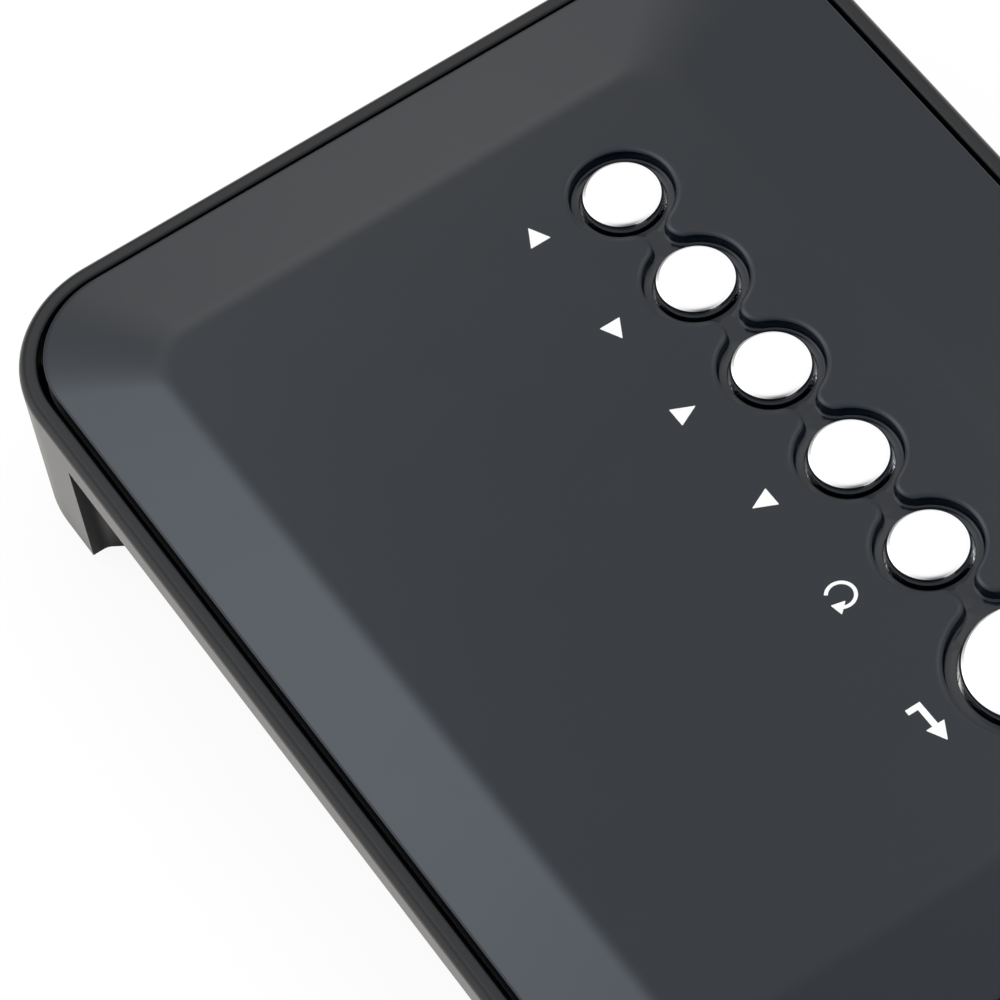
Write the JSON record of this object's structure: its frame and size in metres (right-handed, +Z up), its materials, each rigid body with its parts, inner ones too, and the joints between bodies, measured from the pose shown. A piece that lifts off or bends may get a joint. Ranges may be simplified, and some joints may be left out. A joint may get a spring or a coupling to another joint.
{
  "type": "media player",
  "caption": "Small black solid-state media player: domed gloss panel in a matt case, a row of plated push buttons, recessed rear sockets, boards inside.",
  "frame": {"origin": "centre of the footprint, on the surface that the feet stand on", "axes": "+X to the right of someone reading the panel from the front, +Y to the rear where the plugs go in, +Z up"},
  "size_m": [0.1242, 0.093, 0.0223],
  "materials": {
    "case_black": "fine matt moulded texture",
    "panel_black": "high gloss, near black",
    "plated_cap": "bright plated",
    "switch_black": "moulded",
    "plunger_grey": "moulded",
    "board_green": "solder mask",
    "screw_steel": "plated",
    "connector_cream": "moulded",
    "cable_white": "laminated film",
    "chip_black": "moulded epoxy",
    "pad_grey": "soft filled silicone",
    "heat_sink_aluminium": "extruded",
    "crystal_can": "drawn can",
    "capacitor_can": "drawn can",
    "ferrite": "sintered",
    "socket_black": "moulded",
    "tongue_white": "moulded",
    "socket_steel": "bright pressed sheet",
    "contact_brass": "plated",
    "window_tint": "dark infrared tint",
    "clear_pipe": "clear moulding",
    "led_clear": "clear epoxy",
    "foot_rubber": "moulded rubber"
  },
  "bodies": {
    "case": {"av_jack": "socket_black", "board_screws": "screw_steel", "bottom_cover": "case_black", "card_base": "socket_black", "card_shell": "socket_steel", "case_screws": "screw_steel", "component_jack": "socket_black", "crystal": "crystal_can", "dc_jack": "socket_black", "dc_pin": "contact_brass", "down_switch": "switch_black", "flash_chip": "chip_black", "flat_cable": "cable_white", "front_left_foot": "foot_rubber", "front_memory_chip": "chip_black", "front_right_foot": "foot_rubber", "hdmi_shell": "socket_steel", "hdmi_tongue": "socket_black", "heat_sink": "heat_sink_aluminium", "inductor": "ferrite", "input_capacitor": "capacitor_can", "ir_receiver": "chip_black", "ir_window": "window_tint", "key_board": "board_green", "key_board_connector": "connector_cream", "key_board_screws": "screw_steel", "left_switch": "switch_black", "light_pipe": "clear_pipe", "main_board": "board_green", "main_board_connector": "connector_cream", "ok_switch": "switch_black", "output_capacitor": "capacitor_can", "power_led": "led_clear", "processor": "chip_black", "rear_left_foot": "foot_rubber", "rear_memory_chip": "chip_black", "rear_right_foot": "foot_rubber", "rear_usb_shell": "socket_steel", "rear_usb_tongue": "tongue_white", "regulator": "chip_black", "return_switch": "switch_black", "right_switch": "switch_black", "side_usb_shell": "socket_steel", "side_usb_tongue": "tongue_white", "thermal_pad": "pad_grey", "top_panel": "panel_black", "up_switch": "switch_black", "upper_frame": "case_black"},
    "right_press_body": {"right_button": "plated_cap", "right_plunger": "plunger_grey"},
    "left_press_body": {"left_button": "plated_cap", "left_plunger": "plunger_grey"},
    "down_press_body": {"down_button": "plated_cap", "down_plunger": "plunger_grey"},
    "up_press_body": {"up_button": "plated_cap", "up_plunger": "plunger_grey"},
    "return_press_body": {"return_button": "plated_cap", "return_plunger": "plunger_grey"},
    "ok_press_body": {"ok_button": "plated_cap", "ok_plunger": "plunger_grey"}
  },
  "joints": [
    {"name": "right_press", "type": "slide", "parent": "case", "child": "right_press_body", "axis": [0, 0, -1], "range_m": [0, 0.0005], "stiffness_N_per_m": 2000},
    {"name": "left_press", "type": "slide", "parent": "case", "child": "left_press_body", "axis": [0, 0, -1], "range_m": [0, 0.0005], "stiffness_N_per_m": 2000},
    {"name": "down_press", "type": "slide", "parent": "case", "child": "down_press_body", "axis": [0, 0, -1], "range_m": [0, 0.0005], "stiffness_N_per_m": 2000},
    {"name": "up_press", "type": "slide", "parent": "case", "child": "up_press_body", "axis": [0, 0, -1], "range_m": [0, 0.0005], "stiffness_N_per_m": 2000},
    {"name": "return_press", "type": "slide", "parent": "case", "child": "return_press_body", "axis": [0, 0, -1], "range_m": [0, 0.0005], "stiffness_N_per_m": 2000},
    {"name": "ok_press", "type": "slide", "parent": "case", "child": "ok_press_body", "axis": [0, 0, -1], "range_m": [0, 0.0005], "stiffness_N_per_m": 2000}
  ]
}
